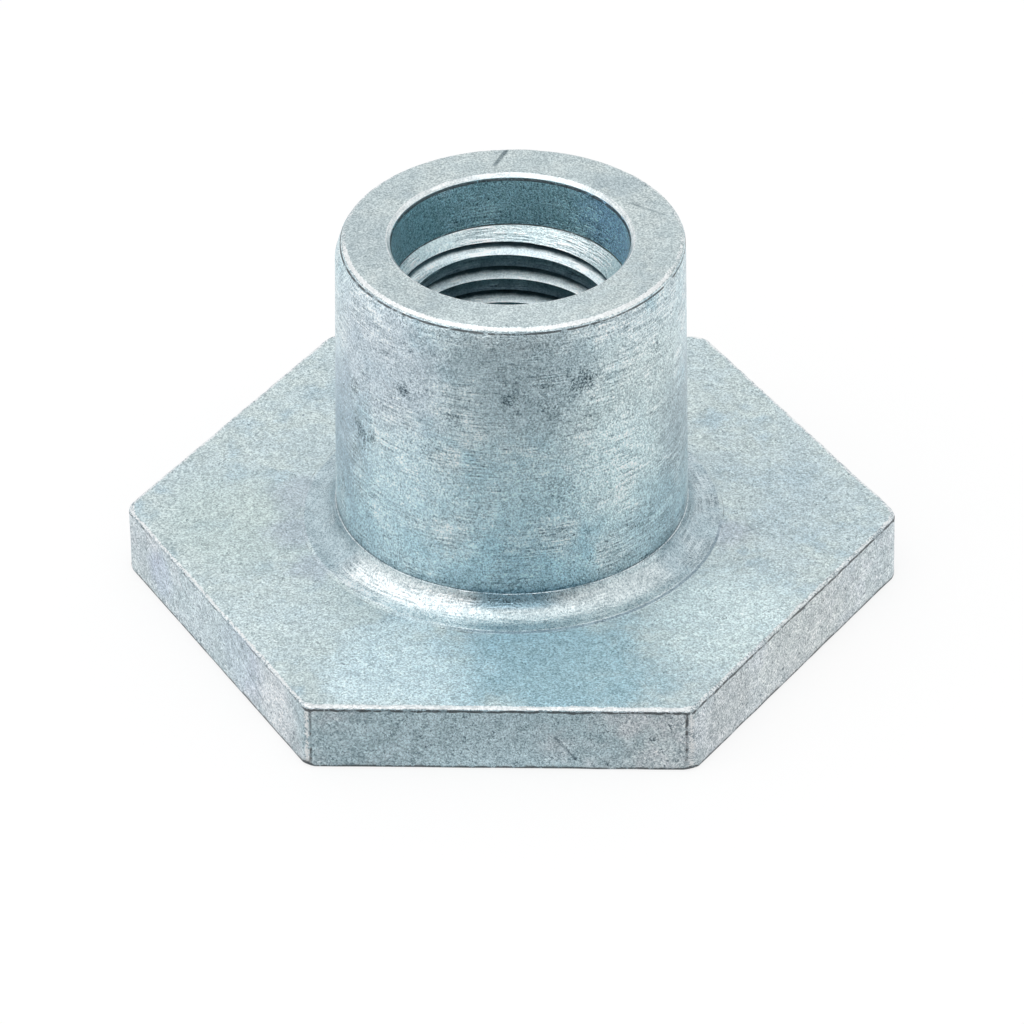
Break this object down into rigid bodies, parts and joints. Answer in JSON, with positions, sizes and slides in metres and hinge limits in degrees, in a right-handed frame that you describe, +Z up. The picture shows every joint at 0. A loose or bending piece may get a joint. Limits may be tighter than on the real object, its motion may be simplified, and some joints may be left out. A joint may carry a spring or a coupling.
{
  "type": "air cleaner mounting nut",
  "caption": "Flanged nut with a thin hexagonal flange and a round threaded barrel with a counterbored mouth; it clamps an engine's air cleaner to its stud.",
  "frame": {"origin": "centre of the flange's underside, on the thread's axis", "axes": "+Z up the barrel along the thread's axis, +X through two of the flange's corners, +Y square to two of its flats"},
  "size_m": [0.0344, 0.03, 0.0177],
  "materials": {
    "zinc_plated_steel": "satin zinc plating with a pale blue passivate, finely grained and mottled"
  },
  "bodies": {
    "root": {"nut": "zinc_plated_steel"}
  },
  "joints": []
}
